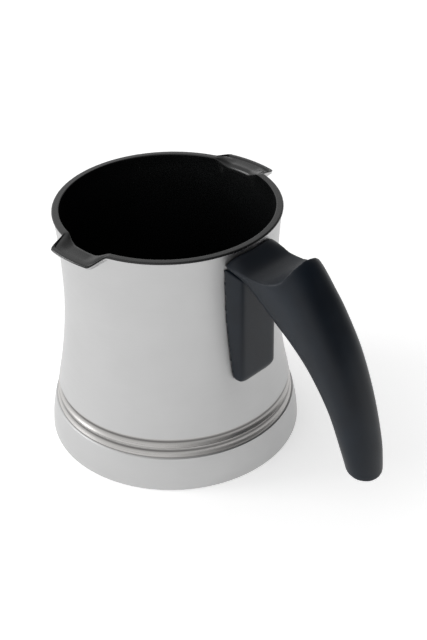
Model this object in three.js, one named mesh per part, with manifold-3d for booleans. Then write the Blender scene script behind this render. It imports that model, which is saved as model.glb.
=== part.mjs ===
// Candle melting pot: a waisted aluminium pot with two pouring lips and a moulded handle.
// Millimetres, +Z up. Origin: centre of the base's underside. The handle points along +X,
// the pouring lips along -Y and +Y.
import * as THREE from "three";
import { mergeVertices } from "three/addons/utils/BufferGeometryUtils.js";
import Module from "manifold-3d";

const wasm = await Module();
wasm.setup();

// Pot body
const rimHeight = 136;
const rimRadius = 60; // outer edge of the rim flange
const rimInnerRadius = 56.2;
const flangeThickness = 1.9;
const flangeCorner = 0.9;
const wallThickness = 2.8;
const floorThickness = 3.6;
const waistHeight = 92;
const waistRadius = 57.2;
const neckFlare = 2.3; // how far the wall has opened again at the rim
const bellyFlare = 7.05; // how far it has opened at the top of the grooved band
const bellyPower = 1.87;
const bandTop = 31.4;
const bandBottom = 20.6;
const grooveDepth = 0.95;
const skirtTopRadius = 67.1;
const skirtMidRadius = 68.9;
const baseRadius = 69.6;
const baseCorner = 2.2;
const cornerRadiusInside = 9;
const potSegments = 72;
const lipCrowding = 0.26; // how much closer the segments are at the lips than at the handle
const segmentPhase = 0.26; // share of a segment by which the first one is turned

// Pouring lips
const lipReach = 69.3; // radius of a lip's outer edge
const lipDrop = 2.4; // how far its edge lies below the rim
const dishDrop = 4.1; // the lowest point of its channel below the rim
const dishRadius = 62.6;
const lipThickness = 2.4;
const lipHalfAngle = THREE.MathUtils.degToRad(13.5);
const lipShoulderAngle = THREE.MathUtils.degToRad(4.6);

// Handle: foot
const clearance = 0.3;
const footBottom = 57.3;
const footPanelX = 63.5;
const footPanelHalfWidth = 13.3;
const footBackHalfWidthTop = 17.8;
const footBackHalfWidthBottom = 13.6;
const footCornerRadius = 4;
const footEdgeFall = 1.1; // how far the panel falls back at its long edges
const footToeFall = 1.3; // and at its bottom
const footWall = 1.9;
const partingX = 56.5; // the parting plane between foot and grip passes through this point
const partingZ = 127;
const partingSlope = 0.9;

// Handle: bracket, rivets and screw
const plateThickness = 2;
const plateHalfWidth = 10;
const plateBottom = 66;
const tongueBottom = 122.8;
const tongueThickness = 2.2;
const tongueHalfWidth = 7;
const tongueEnd = 82;
const rivetHeights = { bracket_rivet_lower: 80, bracket_rivet_upper: 108 };
const rivetShankRadius = 2.4;
const rivetHeadRadius = 5;
const rivetHeadHeight = 1.6;
const rivetTailRadius = 3.8;
const rivetTailHeight = 1.3;
const rivetStandOff = 0.25; // the wall curves towards the rim of a flat head by this much
const plateRoomX = 62.2; // the grip is cut away up to here for the plate's top
const screwX = 76;
const screwSeatZ = 118.5;
const screwShankRadius = 2;
const screwHeadRadius = 3.5;
const screwHeadHeight = 2.6;
const washerThickness = 1;
const washerGap = 0.2; // above and below the washer
const washerRadius = 3.7;
const counterboreRadius = 4.2;

const aluminium = { color: 0xc9cacb, roughness: 0.38, metalness: 1 };
const phenolic = { color: 0x1d1f22, roughness: 0.55, metalness: 0 };
const zincSteel = { color: 0xa9adb0, roughness: 0.4, metalness: 1 };

const pot = new THREE.Group();

function addPiece(name, geometry, look) {
  const mesh = new THREE.Mesh(geometry, new THREE.MeshStandardMaterial(look));
  mesh.name = name;
  pot.add(mesh);
}

// Booleans

function toSolid(geometry) {
  const bare = geometry.clone();
  bare.deleteAttribute("normal");
  bare.deleteAttribute("uv");
  const merged = mergeVertices(bare, 1e-4);
  return new wasm.Manifold(
    new wasm.Mesh({
      numProp: 3,
      vertProperties: merged.attributes.position.array,
      triVerts: new Uint32Array(merged.index.array),
    }),
  );
}

function toGeometry(solid) {
  const mesh = solid.getMesh();
  const positions = new THREE.BufferAttribute(mesh.vertProperties, 3);
  const geometry = new THREE.BufferGeometry().setAttribute("position", positions);
  geometry.setIndex(new THREE.BufferAttribute(mesh.triVerts, 1));
  geometry.computeVertexNormals();
  return geometry;
}

function cutAway(geometry, cuts) {
  return cuts.reduce((solid, cut) => solid.subtract(toSolid(cut)), toSolid(geometry));
}

function box(low, high) {
  const size = high.map((value, i) => value - low[i]);
  const geometry = new THREE.BoxGeometry(...size);
  return geometry.translate(...low.map((value, i) => value + size[i] / 2));
}

// Moves every vertex of a geometry to the place that a function gives for it.
function reshape(geometry, place) {
  const position = geometry.attributes.position;
  const vertex = new THREE.Vector3();
  for (let i = 0; i < position.count; i++) {
    vertex.fromBufferAttribute(position, i);
    position.setXYZ(i, ...place(vertex.x, vertex.y, vertex.z));
  }
  geometry.computeVertexNormals();
  return geometry;
}

// Points of an arc, from one angle to another in degrees.
function arc(centreX, centreY, radius, from, to, steps) {
  return Array.from({ length: steps + 1 }, (_, i) => {
    const angle = THREE.MathUtils.degToRad(from + ((to - from) * i) / steps);
    return [centreX + radius * Math.cos(angle), centreY + radius * Math.sin(angle)];
  });
}

// Outer radius of the pot's wall above the grooved band.
function wallRadius(z) {
  if (z > waistHeight)
    return waistRadius + neckFlare * ((z - waistHeight) / (rimHeight - waistHeight)) ** 2;
  const down = (waistHeight - z) / (waistHeight - bandTop);
  return waistRadius + bellyFlare * Math.max(down, 0) ** bellyPower;
}

// Pot body

// Outside of the pot from the base to just under the rim, as [radius, height].
function outerProfile() {
  const corner = arc(baseRadius - baseCorner, baseCorner, baseCorner, -90, 0, 4);
  const skirt = [
    [skirtMidRadius, 9.7],
    [skirtTopRadius + 0.35, 17.2],
    [skirtTopRadius - 0.15, bandBottom - 0.9],
    [skirtTopRadius - 1.05, bandBottom],
  ];
  const middle = (bandTop + bandBottom) / 2;
  const bandRadius = (z) =>
    THREE.MathUtils.mapLinear(z, bandBottom, bandTop, skirtTopRadius - 1.05, wallRadius(bandTop));
  const cove = (low, high) =>
    [0.2, 0.5, 0.8].map((t) => {
      const z = low + t * (high - low);
      return [bandRadius(z) - grooveDepth * Math.sin(Math.PI * t), z];
    });
  const band = [
    ...cove(bandBottom, middle),
    [bandRadius(middle) + 0.1, middle],
    ...cove(middle, bandTop),
  ];
  const heights = [bandTop, 38, 46, 55, 66, 79, 92, 108, 121, rimHeight - 5];
  return [...corner, ...skirt, ...band, ...heights.map((z) => [wallRadius(z), z])];
}

// Inside of the pot from just under the rim down to the middle of its floor.
function innerProfile() {
  const heights = [rimHeight - 5, 114, 92, 76, 60, 46, 33, 24];
  const wall = heights.map((z) => [wallRadius(z) - wallThickness, z]);
  const cornerX = wallRadius(20) - wallThickness - cornerRadiusInside;
  const corner = arc(cornerX, floorThickness + cornerRadiusInside, cornerRadiusInside, 0, -90, 4);
  return [...wall, ...corner, [0, floorThickness]];
}

// The flange round the rim and, point for point, the dished lip that it turns into.
function rimSections() {
  const top = rimHeight;
  const rimUnder = top - flangeThickness;
  const rim = [
    [wallRadius(rimUnder - 0.6), rimUnder - 0.6],
    [wallRadius(rimUnder) + 0.1, rimUnder - 0.1],
    [rimRadius - 0.1, rimUnder + 0.2],
    ...arc(rimRadius - flangeCorner, top - flangeCorner, flangeCorner, 0, 90, 3),
    [(rimRadius + rimInnerRadius) / 2, top],
    ...arc(rimInnerRadius + 0.5, top - 0.5, 0.5, 90, 180, 2),
    [rimInnerRadius, top - 2.5],
  ];
  const edge = top - lipDrop;
  const dish = top - dishDrop;
  const lip = [
    [wallRadius(top - 9), top - 9],
    [dishRadius - 0.5, dish - 2.6],
    [lipReach - 0.6, edge - lipThickness],
    ...arc(lipReach - 1.1, edge - 1.1, 1.1, 0, 90, 3),
    [dishRadius, dish],
    ...arc(rimInnerRadius + 2, dish - 1.2, 1.6, 70, 180, 2),
    [rimInnerRadius + 0.2, dish - 4],
  ];
  return { rim, lip };
}

// 1 along a lip, 0 away from both, easing over the shoulder between.
function lipShare(angle) {
  const fromLip = Math.abs(Math.asin(Math.min(1, Math.abs(Math.cos(angle)))));
  return 1 - THREE.MathUtils.smoothstep(fromLip, lipHalfAngle, lipHalfAngle + lipShoulderAngle);
}

function potBody() {
  const { rim, lip } = rimSections();
  const outside = outerProfile();
  const points = [[0, 0], ...outside, ...rim, ...innerProfile()];
  const rimStart = 1 + outside.length;
  const profile = points.map(([radius, height]) => new THREE.Vector2(radius, height));
  const lathe = new THREE.LatheGeometry(profile, potSegments);
  const position = lathe.attributes.position;
  for (let i = 0; i < position.count; i++) {
    const turn = (Math.floor(i / points.length) % potSegments) + segmentPhase;
    const at = (2 * Math.PI * turn) / potSegments;
    const angle = at + lipCrowding * Math.sin(2 * at);
    const j = i % points.length;
    const inRim = j >= rimStart && j < rimStart + rim.length;
    const share = inRim ? lipShare(angle) : 0;
    const shape = inRim ? lip[j - rimStart] : points[j];
    const radius = THREE.MathUtils.lerp(points[j][0], shape[0], share);
    const height = THREE.MathUtils.lerp(points[j][1], shape[1], share);
    position.setXYZ(i, radius * Math.cos(angle), radius * Math.sin(angle), height);
  }
  return lathe;
}

function radialHole(z, radius) {
  const hole = new THREE.CylinderGeometry(radius, radius, 30, 20); // longer than wall and plate
  return hole.rotateZ(Math.PI / 2).translate(waistRadius, 0, z);
}

function drilledBody() {
  const holes = Object.values(rivetHeights).map((z) => radialHole(z, rivetShankRadius + clearance));
  return toGeometry(cutAway(potBody(), holes));
}

// Handle

// X of the wall's outside at a place across the handle.
function wallX(y, z) {
  return Math.sqrt(wallRadius(z) ** 2 - y ** 2);
}

function partingHeight(x) {
  return partingZ - partingSlope * (x - partingX);
}

function footOuter() {
  const block = new THREE.BoxGeometry(1, 2, 1, 3, 12, 20);
  return reshape(block, (across, side, up) => {
    const depth = across + 0.5;
    const height = up + 0.5;
    const roughZ = THREE.MathUtils.lerp(footBottom, partingZ, height);
    const rise = THREE.MathUtils.clamp((roughZ - footBottom) / footCornerRadius, 0, 1);
    const rounding = footCornerRadius * (1 - Math.sqrt(1 - (1 - rise) ** 2));
    const back = THREE.MathUtils.lerp(footBackHalfWidthBottom, footBackHalfWidthTop, height);
    const y = side * (THREE.MathUtils.lerp(back, footPanelHalfWidth, depth) - rounding);
    const fall = footEdgeFall * Math.abs(side) ** 12 + footToeFall * (1 - rise) ** 2;
    const x = THREE.MathUtils.lerp(wallX(y, roughZ) + clearance, footPanelX - fall, depth);
    return [x, y, THREE.MathUtils.lerp(footBottom, partingHeight(x) - clearance, height)];
  });
}

function handleFoot() {
  const halfWidth = footPanelHalfWidth - footWall;
  const low = [50, -halfWidth, plateBottom - 1.5];
  const hollow = box(low, [footPanelX - footWall, halfWidth, 135]);
  return toGeometry(cutAway(footOuter(), [hollow]));
}

// Sections along the grip: the middle of its underside and of its top as [x, z], its half width
// at both, and how square its corners are above and below (2 is an ellipse).
const gripSections = [
  { under: [50, 133], top: [54, 140], wide: [18.2, 18.2], above: 9, below: 9 },
  { under: [57, 126.6], top: [66, 141.5], wide: [17.2, 18.2], above: 9, below: 9 },
  { under: [63.3, 121], top: [76, 142], wide: [13.6, 18], above: 5, below: 8 },
  { under: [69.5, 116.4], top: [87.5, 140.8], wide: [13.8, 16.6], above: 2.3, below: 6.5 },
  { under: [76, 110.6], top: [96.3, 135.8], wide: [14.2, 15.8], above: 2.3, below: 5 },
  { under: [84.5, 103.2], top: [104.8, 125.2], wide: [14.6, 15], above: 2.6, below: 4 },
  { under: [91.6, 96.6], top: [112.5, 114.5], wide: [14.8, 14.8], above: 2.7, below: 3 },
  { under: [103.7, 84.1], top: [123.4, 96.4], wide: [14.2, 14.2], above: 2.6, below: 2.6 },
  { under: [115.3, 66.1], top: [133.2, 73.6], wide: [12.9, 12.9], above: 2.4, below: 2.4 },
  { under: [123, 46], top: [140.4, 49.9], wide: [11.6, 11.6], above: 2.2, below: 2.2 },
  { under: [125.2, 38.2], top: [143.2, 33], wide: [10.4, 10.4], above: 2, below: 2 },
];
const gripRings = 40;
const gripSides = 28;
const tipRings = 4; // rings over the rounded end
const tipLength = 1;
const tipShrink = 0.55; // size of the end's flat against its last section

// A section at a place along the grip, from 0 at the root to 1 at the end.
function gripSection(along) {
  const last = gripSections.length - 1;
  const i = Math.min(Math.floor(along * last), last - 1);
  const four = [i - 1, i, i + 1, i + 2].map((n) => gripSections[THREE.MathUtils.clamp(n, 0, last)]);
  const curve = new THREE.SplineCurve();
  const eased = (read) => {
    curve.points = four.map((section, n) => new THREE.Vector2(n, read(section)));
    return curve.getPoint((1 + along * last - i) / 3).y;
  };
  return {
    under: new THREE.Vector2(eased((s) => s.under[0]), eased((s) => s.under[1])),
    top: new THREE.Vector2(eased((s) => s.top[0]), eased((s) => s.top[1])),
    wideUnder: eased((s) => s.wide[0]),
    wideTop: eased((s) => s.wide[1]),
    above: eased((s) => s.above),
    below: eased((s) => s.below),
  };
}

// A point on a circle of radius 1 moved out towards its square's corners.
function squared(value, power) {
  if (Math.abs(value) < 1e-6) return 0;
  return Math.sign(value) * Math.abs(value) ** (2 / power);
}

function gripBlank() {
  const tube = new THREE.CylinderGeometry(1, 1, 1, gripSides, gripRings + tipRings);
  return reshape(tube, (a, height, b) => {
    const ring = (0.5 - height) * (gripRings + tipRings);
    const overTip = Math.max(0, (ring - gripRings) / tipRings);
    const section = gripSection(Math.min(ring / gripRings, 1));
    const { under, top } = section;
    const radius = Math.hypot(a, b);
    const power = a > 0 ? section.above : section.below;
    const up = radius ? squared(a / radius, power) * radius : 0;
    const side = radius ? squared(b / radius, power) * radius : 0;
    const shrink = THREE.MathUtils.lerp(tipShrink, 1, Math.sqrt(1 - overTip ** 2));
    const widening = 1 - ((1 - up) / 2) ** 3; // most of it happens near the underside
    const wide = THREE.MathUtils.lerp(section.wideUnder, section.wideTop, widening);
    const half = top.clone().sub(under).multiplyScalar(0.5);
    const forward = new THREE.Vector2(half.y, -half.x).setLength(tipLength * overTip ** 0.5);
    const middle = top.add(under).multiplyScalar(0.5).add(forward);
    return [middle.x + half.x * shrink * up, -wide * shrink * side, middle.y + half.y * shrink * up];
  });
}

// The thumb rest: a dish that starts high against the wall and ends in a steep ridge.
const thumbFloor = [
  [40, 129.4],
  [57, 128.6],
  [64, 127.9],
  [72, 127.2],
  [79, 127.5],
  [83.5, 128.7],
  [88.2, 131],
  [90.8, 134],
  [92, 138],
  [92.4, 146],
];
const thumbStep = 1; // length of one facet of its floor
const rootCrown = 5; // how much higher its middle is than its edges against the wall
const rootCrownHalfWidth = 17.8;
const rootCrownStart = 59;
const rootCrownEnd = 66.5;

function thumbFloorAt(x) {
  const points = thumbFloor.map(([px, pz]) => new THREE.Vector2(px, pz));
  const curve = new THREE.SplineCurve(points);
  let [low, high] = [0, 1];
  for (let i = 0; i < 24; i++) {
    const middle = (low + high) / 2;
    if (curve.getPoint(middle).x < x) low = middle;
    else high = middle;
  }
  return curve.getPoint(low).y;
}

// What is cut away above the thumb rest.
function thumbScoop() {
  const start = thumbFloor[0][0];
  const length = thumbFloor.at(-1)[0] - start;
  const block = new THREE.BoxGeometry(length, 60, 1, Math.round(length / thumbStep), 24, 1);
  return reshape(block, (along, y, up) => {
    const x = start + length / 2 + along;
    if (up > 0) return [x, y, 170];
    const fade = 1 - THREE.MathUtils.smoothstep(x, rootCrownStart, rootCrownEnd);
    const crown = rootCrown * fade * (1 - (y / rootCrownHalfWidth) ** 4);
    return [x, y, thumbFloorAt(x) + Math.max(crown, -20)];
  });
}

// What is cut away from the grip by the pot's wall.
function wallCutter() {
  const heights = [95, 106, 117, 128, 139, 150];
  const side = heights.map((z) => new THREE.Vector2(wallRadius(z) + clearance, z));
  const profile = [new THREE.Vector2(0, heights[0]), ...side, new THREE.Vector2(0, heights.at(-1))];
  return new THREE.LatheGeometry(profile, 90).rotateX(Math.PI / 2);
}

function upright(radius, low, high, x) {
  const cylinder = new THREE.CylinderGeometry(radius, radius, high - low, 24);
  return cylinder.rotateX(Math.PI / 2).translate(x, 0, (low + high) / 2);
}

function handleGrip() {
  const slotTop = tongueBottom + tongueThickness + clearance;
  const slotWidth = tongueHalfWidth + clearance;
  const plateWidth = plateHalfWidth + clearance;
  const cuts = [
    thumbScoop(),
    wallCutter(),
    box([50, -slotWidth, tongueBottom - clearance], [tongueEnd + clearance, slotWidth, slotTop]),
    box([50, -plateWidth, 110], [plateRoomX, plateWidth, slotTop]),
    upright(screwShankRadius + clearance, 100, tongueBottom + 1, screwX),
    upright(counterboreRadius, 90, screwSeatZ, screwX),
  ];
  return toGeometry(cutAway(gripBlank(), cuts));
}

// Bracket: a plate bent to the wall, with a tongue along +X at its top.
function handleBracket() {
  const top = tongueBottom + tongueThickness;
  const block = new THREE.BoxGeometry(1, 2, 1, 1, 8, 10);
  const plate = reshape(block, (across, side, up) => {
    const z = THREE.MathUtils.lerp(plateBottom, top, up + 0.5);
    const y = side * plateHalfWidth;
    return [wallX(y, z) + clearance + (across + 0.5) * plateThickness, y, z];
  });
  const low = [wallRadius(top) + 1, -tongueHalfWidth, tongueBottom];
  const tongue = box(low, [tongueEnd, tongueHalfWidth, top]);
  const bent = toGeometry(toSolid(plate).add(toSolid(tongue)));
  const holes = Object.values(rivetHeights).map((z) => radialHole(z, rivetShankRadius + clearance));
  const tapped = upright(screwShankRadius + clearance, 115, 130, screwX);
  return toGeometry(cutAway(bent, [...holes, tapped]));
}

// A rivet along +X: low domed head inside the pot, tail closed over the bracket.
function rivet(z) {
  const headX = wallRadius(z) - wallThickness - clearance - rivetStandOff;
  const tailX = wallRadius(z) + plateThickness + 2 * clearance;
  const dome = (radius, height, steps) =>
    Array.from({ length: steps + 1 }, (_, i) => {
      const t = (Math.PI / 2) * (i / steps);
      return [radius * Math.sin(t), height * Math.cos(t)];
    });
  const head = dome(rivetHeadRadius, rivetHeadHeight, 5).map(([r, h]) => [r, headX - h]);
  const tail = dome(rivetTailRadius, rivetTailHeight, 4).map(([r, h]) => [r, tailX + h]);
  const neck = [
    [rivetShankRadius, headX],
    [rivetShankRadius, tailX],
  ];
  const profile = [...head, ...neck, ...tail.reverse()].map(([r, h]) => new THREE.Vector2(r, h));
  return new THREE.LatheGeometry(profile, 24).rotateZ(-Math.PI / 2).translate(0, 0, z);
}

// Pan-head screw pointing up, its cross recess facing down.
function handleScrew() {
  const headTop = screwSeatZ - washerThickness - 2 * washerGap;
  const headBottom = headTop - screwHeadHeight;
  const profile = [
    [0, headBottom],
    [screwHeadRadius - 0.9, headBottom],
    [screwHeadRadius, headBottom + 0.9],
    [screwHeadRadius, headTop],
    [screwShankRadius, headTop],
    [screwShankRadius, tongueBottom + tongueThickness - 0.4],
    [screwShankRadius - 0.4, tongueBottom + tongueThickness],
    [0, tongueBottom + tongueThickness],
  ].map(([r, z]) => new THREE.Vector2(r, z));
  const body = new THREE.LatheGeometry(profile, 24).rotateX(Math.PI / 2).translate(screwX, 0, 0);
  const [long, narrow, slotTop] = [2, 0.5, headBottom + 1.4];
  const slots = [
    box([screwX - long, -narrow, headBottom - 1], [screwX + long, narrow, slotTop]),
    box([screwX - narrow, -long, headBottom - 1], [screwX + narrow, long, slotTop]),
  ];
  return toGeometry(cutAway(body, slots));
}

// Split spring washer between the screw's head and the grip.
function screwWasher() {
  const low = screwSeatZ - washerThickness - washerGap;
  const inner = screwShankRadius + clearance;
  const profile = [
    [inner, low],
    [washerRadius, low],
    [washerRadius, low + washerThickness],
    [inner, low + washerThickness],
    [inner, low],
  ].map(([r, z]) => new THREE.Vector2(r, z));
  const ring = new THREE.LatheGeometry(profile, 28).rotateX(Math.PI / 2).translate(screwX, 0, 0);
  const split = box([screwX, -0.35, low - 1], [screwX + 6, 0.35, low + 3]);
  return toGeometry(cutAway(ring, [split]));
}

addPiece("pot_body", drilledBody(), aluminium);
addPiece("handle_bracket", handleBracket(), zincSteel);
for (const [name, z] of Object.entries(rivetHeights)) addPiece(name, rivet(z), aluminium);
addPiece("handle_foot", handleFoot(), phenolic);
addPiece("handle_grip", handleGrip(), phenolic);
addPiece("screw_washer", screwWasher(), zincSteel);
addPiece("handle_screw", handleScrew(), zincSteel);

export default pot;
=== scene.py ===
import math

import bpy
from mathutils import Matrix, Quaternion, Vector


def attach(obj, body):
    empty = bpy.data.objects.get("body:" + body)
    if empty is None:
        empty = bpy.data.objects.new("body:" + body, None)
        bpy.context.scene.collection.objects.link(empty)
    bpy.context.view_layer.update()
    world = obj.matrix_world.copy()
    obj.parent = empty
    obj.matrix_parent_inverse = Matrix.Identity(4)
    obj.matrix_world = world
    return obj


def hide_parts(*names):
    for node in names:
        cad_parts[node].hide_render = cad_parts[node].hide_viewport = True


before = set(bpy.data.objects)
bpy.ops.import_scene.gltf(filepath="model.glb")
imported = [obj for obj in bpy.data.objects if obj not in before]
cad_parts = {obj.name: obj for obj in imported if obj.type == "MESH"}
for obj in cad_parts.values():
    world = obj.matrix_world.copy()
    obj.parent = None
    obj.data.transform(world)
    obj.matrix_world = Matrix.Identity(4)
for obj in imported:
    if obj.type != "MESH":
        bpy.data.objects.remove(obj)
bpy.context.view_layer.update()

mm = 0.001


# Small helpers

def smoothStep(value, low, high):
    share = min(max((value - low) / (high - low), 0), 1)
    return share * share * (3 - 2 * share)


def blendOf(first, second, share):
    return first + (second - first) * share


def arcPoints(centre, radius, start, end, steps):
    # points of an arc from one angle to another, in degrees
    angles = [math.radians(blendOf(start, end, i / steps)) for i in range(steps + 1)]
    return [(centre[0] + radius * math.cos(a), centre[1] + radius * math.sin(a)) for a in angles]


def softCurve(points, steps):
    # a smooth line through the points, with so many steps between two of them
    line = []
    for i in range(len(points) - 1):
        four = [points[min(max(n, 0), len(points) - 1)] for n in (i - 1, i, i + 1, i + 2)]
        for step in range(steps):
            t = step / steps
            line.append(tuple(splineValue([p[axis] for p in four], t) for axis in range(len(four[0]))))
    line.append(tuple(points[-1]))
    return line


def splineValue(four, t):
    a, b, c, d = four
    rise = (c - a) * t
    bend = (2 * a - 5 * b + 4 * c - d) * t * t
    twist = (3 * b - a - 3 * c + d) * t ** 3
    return b + (rise + bend + twist) / 2


def nothingSelected():
    if bpy.context.object and bpy.context.object.mode != "OBJECT":
        bpy.ops.object.mode_set(mode="OBJECT")
    bpy.ops.object.select_all(action="DESELECT")


def newPiece(name):
    piece = bpy.context.object
    piece.name = name
    piece.data.name = name
    return piece


def placeApplied(piece):
    nothingSelected()
    piece.select_set(True)
    bpy.context.view_layer.objects.active = piece
    bpy.ops.object.transform_apply(location=True, rotation=True, scale=True)


def applyModifier(piece, kind, **settings):
    bpy.context.view_layer.objects.active = piece
    modifier = piece.modifiers.new(kind.title(), kind)
    for name, value in settings.items():
        setattr(modifier, name, value)
    bpy.ops.object.modifier_apply(modifier=modifier.name)


def cutWith(piece, cutter):
    applyModifier(piece, "BOOLEAN", operation="DIFFERENCE", solver="EXACT", object=cutter)
    bpy.data.objects.remove(cutter, do_unlink=True)


def tidyFaces(piece, mergeDistance=0.00001):
    nothingSelected()
    piece.select_set(True)
    bpy.context.view_layer.objects.active = piece
    bpy.ops.object.mode_set(mode="EDIT")
    bpy.ops.mesh.select_all(action="SELECT")
    bpy.ops.mesh.remove_doubles(threshold=mergeDistance)
    bpy.ops.mesh.normals_make_consistent(inside=False)
    bpy.ops.object.mode_set(mode="OBJECT")


def smoothShaded(piece, degrees=180):
    nothingSelected()
    piece.select_set(True)
    bpy.context.view_layer.objects.active = piece
    bpy.ops.object.shade_smooth_by_angle(angle=math.radians(degrees))


def spunFrom(name, profile, steps):
    # draws a profile of (radius, height) from one vertex and spins it round the pot's axis
    nothingSelected()
    bpy.ops.mesh.primitive_plane_add(size=mm, location=(0, 0, 0))
    piece = newPiece(name)
    bpy.ops.object.mode_set(mode="EDIT")
    bpy.ops.mesh.select_all(action="SELECT")
    bpy.ops.mesh.merge(type="CENTER")
    bpy.ops.mesh.select_all(action="SELECT")
    bpy.ops.transform.translate(value=(profile[0][0] * mm, 0, profile[0][1] * mm))
    for (r0, z0), (r1, z1) in zip(profile, profile[1:]):
        move = ((r1 - r0) * mm, 0, (z1 - z0) * mm)
        bpy.ops.mesh.extrude_vertices_move(TRANSFORM_OT_translate={"value": move})
    bpy.ops.mesh.select_all(action="SELECT")
    bpy.ops.mesh.spin(steps=steps, angle=2 * math.pi, center=(0, 0, 0), axis=(0, 0, 1))
    bpy.ops.object.mode_set(mode="OBJECT")
    tidyFaces(piece)
    return piece


def moveVertices(piece, place):
    # place takes and gives millimetres
    for vertex in piece.data.vertices:
        vertex.co = Vector(place(*(vertex.co / mm))) * mm
    piece.data.update()


def finish(piece, body, node):
    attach(piece, body)
    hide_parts(node)
    print(piece.name, len(piece.data.polygons), "faces")


# Materials

def linearColour(hexColour):
    # sRGB hex to the linear values that the shader wants
    parts = [int(hexColour[i:i + 2], 16) / 255 for i in (1, 3, 5)]
    return [p / 12.92 if p < 0.04045 else ((p + 0.055) / 1.055) ** 2.4 for p in parts] + [1]


def addNode(tree, kind, settings=None, links=None):
    node = tree.nodes.new(kind)
    for name, value in (settings or {}).items():
        if isinstance(name, int) or name in node.inputs:
            node.inputs[name].default_value = value
        else:
            setattr(node, name, value)
    for name, source in (links or {}).items():
        tree.links.new(source, node.inputs[name])
    return node


def newMaterial(name):
    material = bpy.data.materials.new(name)
    material.use_nodes = True
    tree = material.node_tree
    tree.nodes.clear()
    shader = addNode(tree, "ShaderNodeBsdfPrincipled")
    addNode(tree, "ShaderNodeOutputMaterial", links={"Surface": shader.outputs[0]})
    coordinates = addNode(tree, "ShaderNodeTexCoord")
    return material, tree, shader, coordinates.outputs["Object"]


def noiseOf(tree, place, scale, detail=2, stretch=None):
    # scale is in features per metre; stretch pulls them out along an axis
    if stretch:
        place = addNode(tree, "ShaderNodeMapping", {"Scale": stretch}, {"Vector": place}).outputs[0]
    settings = {"Scale": scale, "Detail": detail, "Roughness": 0.55}
    return addNode(tree, "ShaderNodeTexNoise", settings, {"Vector": place}).outputs["Fac"]


def spread(tree, value, low, high, fromLow=0.35, fromHigh=0.65):
    settings = {"From Min": fromLow, "From Max": fromHigh, "To Min": low, "To Max": high}
    return addNode(tree, "ShaderNodeMapRange", settings, {"Value": value}).outputs[0]


def tinted(tree, value, dark, light):
    # runs between two colours with a value
    settings = {"data_type": "RGBA", 6: linearColour(dark), 7: linearColour(light)}
    return addNode(tree, "ShaderNodeMix", settings, {0: value}).outputs[2]


def bumped(tree, shader, height, distance, strength=1, under=None):
    links = {"Height": height}
    if under:
        links["Normal"] = under
    bump = addNode(tree, "ShaderNodeBump", {"Strength": strength, "Distance": distance}, links)
    tree.links.new(bump.outputs[0], shader.inputs["Normal"])
    return bump.outputs[0]


def satinAluminium():
    # drawn aluminium sheet, turned with fine abrasive and lacquered: soft even sheen, faint rings
    material, tree, shader, place = newMaterial("satinTurnedAluminium")
    shader.inputs["Metallic"].default_value = 1
    brushed = noiseOf(tree, place, 1, 3, stretch=(60, 60, 2600))  # lines 0.4 mm apart
    cloudy = noiseOf(tree, place, 45)  # 20 mm patches
    grain = noiseOf(tree, place, 1500, 2)  # 0.7 mm grain, coarser than the real one so it shows
    colour = tinted(tree, spread(tree, cloudy, 0, 1), "#bababa", "#bcbcbc")
    tree.links.new(colour, shader.inputs["Base Color"])
    tree.links.new(spread(tree, brushed, 0.4, 0.45), shader.inputs["Roughness"])
    lines = bumped(tree, shader, brushed, 0.00001, 0.6)
    bumped(tree, shader, grain, 0.00003, 0.6, under=lines)
    return material


def polishedAluminium():
    # the same metal where the grooves were burnished: bright, with shade painted into each groove under
    # its upper edge
    material, tree, shader, place = newMaterial("burnishedAluminium")
    shader.inputs["Metallic"].default_value = 1
    turned = noiseOf(tree, place, 1, 2, stretch=(20, 20, 3500))  # tool marks 0.3 mm apart
    bright = tinted(tree, turned, "#b6b4b2", "#c6c4c2")
    height = addNode(tree, "ShaderNodeSeparateXYZ", links={0: place}).outputs["Z"]
    # 0 at the bottom of a groove, 1 at its top
    bottom, top = potShape["bandBottom"] * mm, potShape["bandTop"] * mm
    inGroove = spread(tree, height, 0, 2, fromLow=bottom, fromHigh=top)
    inGroove = addNode(tree, "ShaderNodeMath", {"operation": "FRACT"}, {0: inGroove}).outputs[0]
    # painted shade half way up each groove, where its upper face turns down; clean metal at the lips
    # above and below
    paintedGrooveShade = addNode(tree, "ShaderNodeValToRGB", links={0: inGroove})
    stops = paintedGrooveShade.color_ramp.elements
    first = potShape["paintedShadeAtGrooveBottom"]
    stops[0].color = [first, first, first, 1]
    for share, grey in potShape["paintedGrooveShade"]:
        stops.new(share).color = [grey, grey, grey, 1]
    # multiplies the painted groove shade into the metal's colour
    settings = {"data_type": "RGBA", "blend_type": "MULTIPLY", 0: 1}
    shade = addNode(tree, "ShaderNodeMix", settings, {6: bright, 7: paintedGrooveShade.outputs[0]}).outputs[2]
    tree.links.new(shade, shader.inputs["Base Color"])
    tree.links.new(spread(tree, turned, 0.26, 0.34), shader.inputs["Roughness"])
    bumped(tree, shader, turned, 0.000008, 0.4)
    return material


def nonStickCoating():
    # sprayed and baked PTFE: black, fine orange peel, a low soft sheen where light grazes it
    material, tree, shader, place = newMaterial("sprayedNonStickCoating")
    peel = noiseOf(tree, place, 1100, 3)  # 0.9 mm orange peel
    cloudy = noiseOf(tree, place, 70)
    tree.links.new(tinted(tree, cloudy, "#070808", "#0f1011"), shader.inputs["Base Color"])
    tree.links.new(spread(tree, peel, 0.24, 0.34), shader.inputs["Roughness"])
    shader.inputs["Specular IOR Level"].default_value = 0.5
    bumped(tree, shader, peel, 0.00002, 0.5)
    return material


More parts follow.
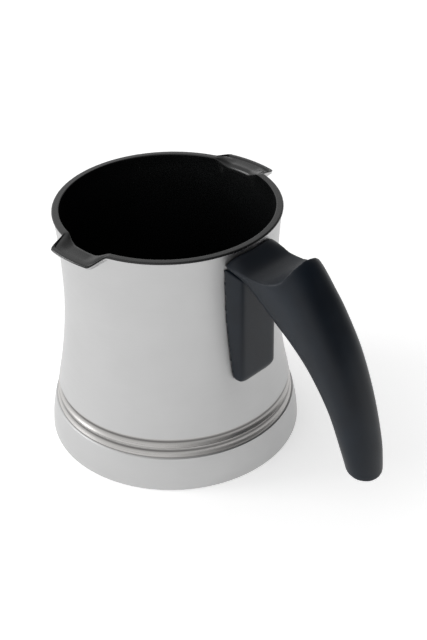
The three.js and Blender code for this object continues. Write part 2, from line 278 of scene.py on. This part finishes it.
def mouldedPhenolic():
    # compression-moulded phenolic, spark-eroded mould: blue-black, fine satin grain
    material, tree, shader, place = newMaterial("mouldedPhenolic")
    grain = noiseOf(tree, place, 1900, 3)  # 0.5 mm grain, drawn coarse enough to show
    cloudy = noiseOf(tree, place, 60)
    colour = tinted(tree, spread(tree, cloudy, 0, 1), "#0e141c", "#111922")
    tree.links.new(colour, shader.inputs["Base Color"])
    tree.links.new(spread(tree, grain, 0.36, 0.46), shader.inputs["Roughness"])
    shader.inputs["Specular IOR Level"].default_value = 0.28
    bumped(tree, shader, grain, 0.00002, 0.5)
    return material


def zincPlatedSteel(name, light, dark):
    # pressed steel with bright zinc plating: cool grey, slightly blotchy
    material, tree, shader, place = newMaterial(name)
    shader.inputs["Metallic"].default_value = 1
    blotch = noiseOf(tree, place, 350, 3)  # 3 mm blotches
    tree.links.new(tinted(tree, spread(tree, blotch, 0, 1), dark, light), shader.inputs["Base Color"])
    tree.links.new(spread(tree, blotch, 0.28, 0.42), shader.inputs["Roughness"])
    bumped(tree, shader, noiseOf(tree, place, 2500), 0.00001, 0.4)
    return material


def headedAluminium():
    # cold-headed rivet wire: bright, faint marks from the heading tool
    material, tree, shader, place = newMaterial("coldHeadedAluminium")
    shader.inputs["Metallic"].default_value = 1
    marks = noiseOf(tree, place, 900, 2)
    tree.links.new(tinted(tree, marks, "#b9babb", "#cfd0d1"), shader.inputs["Base Color"])
    tree.links.new(spread(tree, marks, 0.24, 0.36), shader.inputs["Roughness"])
    bumped(tree, shader, marks, 0.00001, 0.3)
    return material


# Pot: one drawn and turned shell, in millimetres

potShape = {
    "rimHeight": 136, "rimRadius": 60, "rimInnerRadius": 56.2, "rimThickness": 1.9,
    "rimCorner": 0.9, "rimInnerCorner": 0.5,
    "wall": 2.8, "floor": 3.6, "waistHeight": 92, "waistRadius": 57.2,
    "neckFlare": 2.3, "bellyFlare": 7.05, "bellyPower": 1.87,
    "bandTop": 31.4, "bandBottom": 20.6, "grooveDepth": 0.8,
    "skirt": [(69.48, 3.2), (68.88, 9.7), (67.45, 17.2)], "skirtTop": 67.1,
    "baseRadius": 69.52, "baseCorner": 2.2, "insideCorner": 9,
    "spinSteps": 288, "crowding": 0.26,  # steps crowd towards the lips by this much
    "skirtStep": 1.05, "ridgeHalf": 0.25, "ridgeRise": 0.1, "coveRows": 10, "wallRows": 44,
    "insideRows": 30, "insideWallBottom": 22,
    # painted shade: brightness painted onto the metal at heights in a groove, from its bottom at 0 to
    # its top at 1
    "paintedShadeAtGrooveBottom": 0.4,
    "paintedGrooveShade": [(0.07, 0.95), (0.3, 0.85), (0.46, 0.6), (0.56, 0.3), (0.66, 0.26), (0.8, 0.6),
              (0.93, 0.9), (0.96, 1)],
}

lipShape = {
    "reach": 69.3, "drop": 2.4, "dishDrop": 3.1, "dishRadius": 62.6, "thickness": 2.4,
    "borderWidth": 2.2, "borderRise": 0.5,
    # in degrees round the pot, for the lips at -Y and +Y: lean away from the handle, then where the
    # outline and the dish stop being full and where they end
    "lean": (0.3, 2.1), "outline": ((10.7, 16.1), (12.2, 16.4)), "dish": (6, 16.6),
    "dishOuter": 62.6, "outlineInner": 66,
}


finishes = {
    "satin": satinAluminium(),
    "burnished": polishedAluminium(),
    "coating": nonStickCoating(),
    "phenolic": mouldedPhenolic(),
    "bracket": zincPlatedSteel("zincPlatedSheet", "#b4b7ba", "#9a9da1"),
    "screw": zincPlatedSteel("zincPlatedScrew", "#bcbfc2", "#a2a5a9"),
    "rivet": headedAluminium(),
}
print("materials made")


def wallRadius(z):
    s = potShape
    if z > s["waistHeight"]:
        up = (z - s["waistHeight"]) / (s["rimHeight"] - s["waistHeight"])
        return s["waistRadius"] + s["neckFlare"] * up ** 2
    down = (s["waistHeight"] - z) / (s["waistHeight"] - s["bandTop"])
    return s["waistRadius"] + s["bellyFlare"] * max(down, 0) ** s["bellyPower"]


def groovedBand():
    s = potShape
    foot = s["skirtTop"] - s["skirtStep"]
    middle = (s["bandTop"] + s["bandBottom"]) / 2

    def bandRadius(z):
        share = (z - s["bandBottom"]) / (s["bandTop"] - s["bandBottom"])
        return blendOf(foot, wallRadius(s["bandTop"]), share)

    def cove(low, high):
        shares = [i / s["coveRows"] for i in range(1, s["coveRows"])]
        rows = []
        for share in shares:
            z = blendOf(low, high, share)
            rows.append((bandRadius(z) - s["grooveDepth"] * math.sin(math.pi * share), z))
        return rows

    under, over = middle - s["ridgeHalf"], middle + s["ridgeHalf"]
    ridge = [(bandRadius(under), under), (bandRadius(middle) + s["ridgeRise"], middle),
             (bandRadius(over), over)]
    # the skirt's rounded top edge
    edge, top = s["skirtTop"], s["bandBottom"]
    step = [(edge - 0.3, top - 0.75), (edge - 0.75, top - 0.35), (foot, top - 0.25), (foot - 0.05, top)]
    return step + cove(s["bandBottom"], under) + ridge + cove(over, s["bandTop"])


def outsideRows():
    s = potShape
    corner = arcPoints((s["baseRadius"] - s["baseCorner"], s["baseCorner"]), s["baseCorner"], -90, 0, 8)
    skirt = softCurve(s["skirt"], 6)
    start, end = s["bandTop"], s["rimHeight"] - 10
    heights = [blendOf(start, end, i / s["wallRows"]) for i in range(s["wallRows"] + 1)]
    wall = [(wallRadius(start) - 0.12, start - 0.1)] + [(wallRadius(z), z) for z in heights]
    return corner + skirt + groovedBand() + wall


def insideRows():
    s = potShape
    start, end = s["rimHeight"] - 6, s["insideWallBottom"]
    heights = [blendOf(start, end, i / s["insideRows"]) for i in range(s["insideRows"] + 1)]
    wall = [(wallRadius(z) - s["wall"], z) for z in heights]
    cornerX = wallRadius(end) - s["wall"] - s["insideCorner"]
    corner = arcPoints((cornerX, s["floor"] + s["insideCorner"]), s["insideCorner"], 0, -90, 12)
    return wall + corner + [(36, s["floor"]), (18, s["floor"]), (4, s["floor"]), (0, s["floor"])]


def rimRows():
    # the flange round the rim, point for point beside the lip that it turns into
    s = potShape
    lip = lipShape
    top = s["rimHeight"]
    under = top - s["rimThickness"]
    corner, inner = s["rimCorner"], s["rimInnerCorner"]
    rim = [(wallRadius(under - 3), under - 3), (wallRadius(under - 1.5), under - 1.5),
           (wallRadius(under - 0.6), under - 0.6), (wallRadius(under) + 0.05, under - 0.1),
           (s["rimRadius"] - 0.2, under + 0.15)]
    rim += arcPoints((s["rimRadius"] - corner, top - corner), corner, 0, 90, 6)
    rim += [(s["rimRadius"] - corner - 0.5, top), (58.2, top), (57.7, top), (57.2, top)]
    rim += arcPoints((s["rimInnerRadius"] + inner, top - inner), inner, 90, 180, 6)
    rim += [(s["rimInnerRadius"], top - 1.6), (s["rimInnerRadius"], top - 3)]

    edge = top - lip["drop"]
    dish = top - lip["dishDrop"]
    reach = lip["reach"]
    under = [(wallRadius(top - 9.5), top - 9.5), (wallRadius(top - 8.5) + 0.4, top - 8.5),
             (lip["dishRadius"] - 0.6, dish - 2.6), (66, edge - lip["thickness"] - 0.7),
             (reach - 0.7, edge - lip["thickness"])]
    nose = arcPoints((reach - 1.0, edge - 1.0), 1.0, 0, 90, 6)
    inside = reach - lip["borderWidth"]
    channel = [(inside, edge), (inside - 0.6, edge - lip["borderRise"]), (64.6, dish + 0.25),
               (lip["dishRadius"], dish)]
    bend = arcPoints((s["rimInnerRadius"] + 3.0, dish - 1.9), 2.5, 75, 180, 6)
    last = [(s["rimInnerRadius"] + 0.3, dish - 3.6), (s["rimInnerRadius"] + 0.1, dish - 5)]
    return rim, under + nose + channel + bend + last


def lipShare(angle, limits, lean):
    # 1 along a lip, 0 away from both, easing between the two limits
    fromLip = abs(math.degrees(math.asin(max(-1, min(1, math.cos(angle))))) + lean)
    return 1 - smoothStep(fromLip, *limits)


def makePot():
    rim, lip = rimRows()
    profile = [(0, 0), (30, 0), (60, 0)] + outsideRows() + rim + insideRows()
    pot = spunFrom("meltingPot", profile, potShape["spinSteps"])
    placeOf = {(round(r, 2), round(z, 2)): i for i, (r, z) in enumerate(rim)}
    top = potShape["rimHeight"]

    for finishName in ("satin", "burnished", "coating"):
        pot.data.materials.append(finishes[finishName])
    for face in pot.data.polygons:
        x, y, z = face.center / mm
        radius = math.hypot(x, y)
        lowest = max(z, potShape["insideWallBottom"])
        inside = z > 1 and radius < wallRadius(lowest) - potShape["wall"] / 2
        if inside or z > top - potShape["rimCorner"]:
            face.material_index = 2
        elif potShape["bandBottom"] - 0.3 < z < potShape["bandTop"]:
            face.material_index = 1

    def shaped(x, y, z):
        radius = math.hypot(x, y)
        at = math.atan2(y, x)
        angle = at + potShape["crowding"] * math.sin(2 * at)
        row = placeOf.get((round(radius, 2), round(z, 2)))
        if row is not None:
            side = 1 if y > 0 else 0
            lean = lipShape["lean"][side]
            outline = lipShare(angle, lipShape["outline"][side], lean)
            dish = lipShare(angle, lipShape["dish"], lean)
            atEdge = smoothStep(lip[row][0], lipShape["dishOuter"], lipShape["outlineInner"])
            z = blendOf(z, lip[row][1], blendOf(dish, outline, atEdge))
            radius = blendOf(radius, lip[row][0], outline)
        return radius * math.cos(angle), radius * math.sin(angle), z

    moveVertices(pot, shaped)
    smoothShaded(pot, 32)
    finish(pot, "root", "pot_body")


makePot()
print("pot made")


# Handle grip: a drooping arm with a thumb rest sunk into its root, in millimetres

gripShape = {
    # middle of the underside and of the top as (x, z), half width at both, squareness above and below
    "stations": [
        (50, 133, 54, 140, 18.2, 18.2, 9, 9),
        (57, 126.6, 66, 141.5, 17.2, 18.2, 9, 9),
        (63.3, 121, 76, 142, 13.6, 18, 5, 8),
        (69.5, 116.4, 87.5, 140.8, 13.8, 16.6, 2.3, 6.5),
        (76, 110.6, 96.3, 135.8, 14.2, 15.8, 2.3, 5),
        (84.5, 103.2, 104.8, 125.2, 14.6, 15, 2.6, 4),
        (91.6, 96.6, 112.5, 114.5, 14.8, 14.8, 2.7, 3),
        (103.7, 84.1, 123.4, 96.4, 14.2, 14.2, 2.6, 2.6),
        (115.3, 66.1, 133.2, 73.6, 12.9, 12.9, 2.4, 2.4),
        (123, 46, 140.4, 49.9, 11.6, 11.6, 2.2, 2.2),
        (125.2, 38.2, 143.2, 33, 10.4, 10.4, 2, 2),
    ],
    "rings": 110, "sides": 112, "tipRings": 8, "tipLength": 1, "tipShrink": 0.55,
    "thumbRest": [(40, 129.4), (57, 128.6), (64, 127.9), (72, 127.2), (79, 127.5), (83.5, 128.7),
                  (88.2, 131), (90.8, 134), (92, 138), (92.4, 146)],
    "crown": 5, "crownHalfWidth": 17.8, "crownStart": 56.5, "crownEnd": 72, "crownLowest": -20,
    "cutterWidth": 60, "cutterTop": 170,
    "gapToPot": 0.3, "grain": 0.55, "softening": 14,
}


def gripStation(along):
    stations = gripShape["stations"]
    last = len(stations) - 1
    i = min(int(along * last), last - 1)
    four = [stations[min(max(n, 0), last)] for n in (i - 1, i, i + 1, i + 2)]
    return [splineValue([s[axis] for s in four], along * last - i) for axis in range(8)]


def squared(value, power):
    # pushes a point of a circle out towards its square's corners
    return math.copysign(abs(value) ** (2 / power), value) if abs(value) > 1e-6 else 0


def gripPoint(a, b, ring):
    overTip = max(0, (ring - gripShape["rings"]) / gripShape["tipRings"])
    ux, uz, tx, tz, wideUnder, wideTop, above, below = gripStation(min(ring / gripShape["rings"], 1))
    radius = math.hypot(a, b)
    power = above if a > 0 else below
    up = squared(a / radius, power) * radius if radius else 0
    side = squared(b / radius, power) * radius if radius else 0
    shrink = blendOf(gripShape["tipShrink"], 1, math.sqrt(max(0, 1 - overTip ** 2)))
    wide = blendOf(wideUnder, wideTop, 1 - ((1 - up) / 2) ** 3)
    halfX, halfZ = (tx - ux) / 2, (tz - uz) / 2
    length = math.hypot(halfX, halfZ)
    reach = gripShape["tipLength"] * math.sqrt(overTip)
    middleX = (tx + ux) / 2 + halfZ / length * reach
    middleZ = (tz + uz) / 2 - halfX / length * reach
    return middleX + halfX * shrink * up, -wide * shrink * side, middleZ + halfZ * shrink * up


def gripBlank():
    nothingSelected()
    rings = gripShape["rings"] + gripShape["tipRings"]
    bpy.ops.mesh.primitive_circle_add(vertices=gripShape["sides"], radius=mm, fill_type="TRIFAN")
    blank = newPiece("handleGrip")
    bpy.ops.object.mode_set(mode="EDIT")
    bpy.ops.mesh.select_all(action="SELECT")
    for _ in range(rings):
        bpy.ops.mesh.extrude_region_move(TRANSFORM_OT_translate={"value": (0, 0, -mm)})
    bpy.ops.object.mode_set(mode="OBJECT")
    moveVertices(blank, lambda x, y, z: gripPoint(x, y, round(-z, 3)))
    tidyFaces(blank)
    return blank


def heightOn(line, x):
    for (x0, z0), (x1, z1) in zip(line, line[1:]):
        if x1 >= x:
            return blendOf(z0, z1, (x - x0) / (x1 - x0))
    return line[-1][1]


def thumbCutter():
    line = softCurve(gripShape["thumbRest"], 12)
    start, end = line[0][0], line[-1][0]
    nothingSelected()
    bpy.ops.mesh.primitive_grid_add(x_subdivisions=130, y_subdivisions=60, size=mm)
    cutter = newPiece("thumbCutter")
    bpy.ops.object.mode_set(mode="EDIT")
    bpy.ops.mesh.select_all(action="SELECT")
    bpy.ops.mesh.extrude_region_move(TRANSFORM_OT_translate={"value": (0, 0, mm)})
    bpy.ops.object.mode_set(mode="OBJECT")

    def placed(x, y, z):
        across = y * gripShape["cutterWidth"]
        along = blendOf(start, end, x + 0.5)
        fade = 1 - smoothStep(along, gripShape["crownStart"], gripShape["crownEnd"])
        crown = gripShape["crown"] * fade * (1 - (across / gripShape["crownHalfWidth"]) ** 4)
        floor = heightOn(line, along) + max(crown, gripShape["crownLowest"])
        return along, across, floor if z < 0.5 else gripShape["cutterTop"]

    moveVertices(cutter, placed)
    tidyFaces(cutter)
    return cutter


def potCutter(name, low, high):
    heights = [blendOf(low, high, i / 24) for i in range(25)]
    side = [(wallRadius(z) + gripShape["gapToPot"], z) for z in heights]
    return spunFrom(name, [(0, low)] + side + [(0, high)], 256)


def blockCutter(name, low, high):
    nothingSelected()
    middle = [(a + b) / 2 * mm for a, b in zip(low, high)]
    bpy.ops.mesh.primitive_cube_add(size=1, location=middle)
    cutter = newPiece(name)
    cutter.scale = [(b - a) * mm for a, b in zip(low, high)]
    placeApplied(cutter)
    return cutter


def roundCutter(name, radius, x, low, high):
    nothingSelected()
    middle = (x * mm, 0, (low + high) / 2 * mm)
    depth = (high - low) * mm
    bpy.ops.mesh.primitive_cylinder_add(vertices=48, radius=radius * mm, depth=depth, location=middle)
    cutter = newPiece(name)
    placeApplied(cutter)
    return cutter


fixings = {
    "tongueBottom": 122.8, "tongueTop": 125, "tongueHalfWidth": 7, "tongueEnd": 82,
    "plateHalfWidth": 10, "plateRoom": 62.2, "screwX": 76, "screwSeat": 118.5,
    "counterbore": 4.2, "shankHole": 2.3, "room": 0.3, "cutsStart": 50, "plateSlotBottom": 110,
}


def softened(piece, grain, repeats):
    # rounds every edge a little, as moulding does
    applyModifier(piece, "REMESH", mode="VOXEL", voxel_size=grain * mm, adaptivity=0)
    applyModifier(piece, "SMOOTH", factor=0.5, iterations=repeats)


def makeGrip():
    f = fixings
    grip = gripBlank()
    cutWith(grip, thumbCutter())
    cutWith(grip, potCutter("rootCutter", 92, 152))
    softened(grip, gripShape["grain"], gripShape["softening"])
    room = f["room"]
    slotTop = f["tongueTop"] + room
    slotHalf = f["tongueHalfWidth"] + room
    plateHalf = f["plateHalfWidth"] + room
    start = f["cutsStart"]
    tongueLow = (start, -slotHalf, f["tongueBottom"] - room)
    cutWith(grip, blockCutter("tongueSlot", tongueLow, (f["tongueEnd"] + room, slotHalf, slotTop)))
    plateLow = (start, -plateHalf, f["plateSlotBottom"])
    cutWith(grip, blockCutter("plateSlot", plateLow, (f["plateRoom"], plateHalf, slotTop)))
    cutWith(grip, roundCutter("screwHole", f["shankHole"], f["screwX"], 100, f["tongueBottom"] + 1))
    cutWith(grip, roundCutter("counterbore", f["counterbore"], f["screwX"], 90, f["screwSeat"]))
    tidyFaces(grip, 0.000002)
    grip.data.materials.clear()
    grip.data.materials.append(finishes["phenolic"])
    smoothShaded(grip, 50)
    finish(grip, "root", "handle_grip")


makeGrip()
print("grip made")


# Handle foot: the plate-like lower half of the handle, moulded to the pot's wall, in millimetres

footShape = {
    "gap": 0.3, "bottom": 57.3, "panelX": 63.5, "panelHalfWidth": 13.3,
    "backTop": 17.8, "backBottom": 13.6, "corner": 4, "edgeFall": 1.1, "toeFall": 1.3, "wall": 1.9,
    "partingX": 56.5, "partingZ": 127, "partingSlope": 0.9, "partingGap": 0.15,
    "hollowBottom": 64.5, "hollowTop": 135, "grain": 0.45, "softening": 16,
}


def footPoint(depth, side, height):
    s = footShape
    roughZ = blendOf(s["bottom"], s["partingZ"], height)
    rise = min(max((roughZ - s["bottom"]) / s["corner"], 0), 1)
    rounding = s["corner"] * (1 - math.sqrt(1 - (1 - rise) ** 2))
    back = blendOf(s["backBottom"], s["backTop"], height)
    y = side * (blendOf(back, s["panelHalfWidth"], depth) - rounding)
    fall = s["edgeFall"] * abs(side) ** 12 + s["toeFall"] * (1 - rise) ** 2
    backX = math.sqrt(wallRadius(roughZ) ** 2 - y ** 2) + s["gap"]
    x = blendOf(backX, s["panelX"] - fall, depth)
    parting = s["partingZ"] - s["partingSlope"] * (x - s["partingX"])
    return x, y, blendOf(s["bottom"], parting - s["partingGap"], height)


def makeFoot():
    s = footShape
    nothingSelected()
    bpy.ops.mesh.primitive_cube_add(size=mm, location=(0, 0, 0))
    foot = newPiece("handleFoot")
    bpy.ops.object.mode_set(mode="EDIT")
    bpy.ops.mesh.select_all(action="SELECT")
    bpy.ops.mesh.subdivide(number_cuts=63)
    bpy.ops.object.mode_set(mode="OBJECT")
    moveVertices(foot, lambda x, y, z: footPoint(x + 0.5, y * 2, z + 0.5))
    tidyFaces(foot)
    softened(foot, s["grain"], s["softening"])
    half = s["panelHalfWidth"] - s["wall"]
    low = (fixings["cutsStart"], -half, s["hollowBottom"])
    cutWith(foot, blockCutter("footHollow", low, (s["panelX"] - s["wall"], half, s["hollowTop"])))
    tidyFaces(foot, 0.000002)
    foot.data.materials.clear()
    foot.data.materials.append(finishes["phenolic"])
    smoothShaded(foot, 50)
    finish(foot, "root", "handle_foot")


makeFoot()
print("foot made")


# Bracket, rivets, washer and screw keep their own shapes and take their finishes

for nodeName, finishName in {
    "handle_bracket": "bracket",
    "bracket_rivet_lower": "rivet",
    "bracket_rivet_upper": "rivet",
    "screw_washer": "screw",
    "handle_screw": "screw",
}.items():
    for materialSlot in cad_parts[nodeName].material_slots:
        materialSlot.material = finishes[finishName]


# Studio: white floor, soft light, camera

studio = {
    "floorSize": 6, "floorColour": "#f2f2f2", "floorGlow": 0.5,
    "cameraPlace": (0.4258, -0.4083, 0.4585), "cameraAim": (0.0163, 0.0157, 0.0627),
    "cameraRoll": -1.07, "lens": 72.83,
    "darkSide": (0.66, 0.6, 0.45), "darkSideLight": 0.04,
}


def makeFloor():
    nothingSelected()
    size, low = studio["floorSize"], (0, 0, -0.0001)
    bpy.ops.mesh.primitive_circle_add(vertices=96, radius=size, fill_type="TRIFAN", location=low)
    floor = newPiece("studioFloor")
    placeApplied(floor)
    material = bpy.data.materials.new("whitePaperFloor")
    material.use_nodes = True
    shader = material.node_tree.nodes["Principled BSDF"]
    shader.inputs["Base Color"].default_value = linearColour(studio["floorColour"])
    shader.inputs["Roughness"].default_value = 0.9
    shader.inputs["Specular IOR Level"].default_value = 0.1
    shader.inputs["Emission Color"].default_value = (1, 1, 1, 1)
    shader.inputs["Emission Strength"].default_value = studio["floorGlow"]
    floor.data.materials.append(material)


def makeSky():
    world = bpy.data.worlds.new("studioSky")
    bpy.context.scene.world = world
    world.use_nodes = True
    tree = world.node_tree
    tree.nodes.clear()
    place = addNode(tree, "ShaderNodeTexCoord").outputs["Generated"]
    # bright all round, with a dark part behind the pot on the handle's side
    settings = {"operation": "DOT_PRODUCT", 1: studio["darkSide"]}
    towards = addNode(tree, "ShaderNodeVectorMath", settings, {0: place})
    share = spread(tree, towards.outputs["Value"], 1, studio["darkSideLight"], fromLow=0, fromHigh=0.9)
    # the backdrop itself is plain white
    seen = addNode(tree, "ShaderNodeLightPath").outputs["Is Camera Ray"]
    share = addNode(tree, "ShaderNodeMix", {"B": 1}, {"Factor": seen, "A": share}).outputs[0]
    light = addNode(tree, "ShaderNodeBackground", {"Color": (1, 1, 1, 1)}, {"Strength": share})
    addNode(tree, "ShaderNodeOutputWorld", links={"Surface": light.outputs[0]})


def softLight(name, place, aim, size, power):
    data = bpy.data.lights.new(name, "AREA")
    data.size = size
    data.energy = power
    lamp = bpy.data.objects.new(name, data)
    bpy.context.scene.collection.objects.link(lamp)
    lamp.location = place
    lamp.rotation_euler = (Vector(aim) - Vector(place)).to_track_quat("-Z", "Y").to_euler()


def makeCamera():
    data = bpy.data.cameras.new("studioCamera")
    data.lens = studio["lens"]
    data.sensor_width = 36
    camera = bpy.data.objects.new("studioCamera", data)
    bpy.context.scene.collection.objects.link(camera)
    place, aim = Vector(studio["cameraPlace"]), Vector(studio["cameraAim"])
    roll = Quaternion((0, 0, 1), math.radians(studio["cameraRoll"]))
    camera.rotation_mode = "QUATERNION"
    camera.rotation_quaternion = (aim - place).to_track_quat("-Z", "Y") @ roll
    camera.location = place
    data.dof.use_dof = False
    bpy.context.scene.camera = camera


makeFloor()
makeSky()
softLight("leftPanel", (-0.9, -0.9, 0.5), (0, 0, 0.07), 0.5, 6)
makeCamera()
bpy.context.scene.view_settings.view_transform = "Standard"
print("studio made")
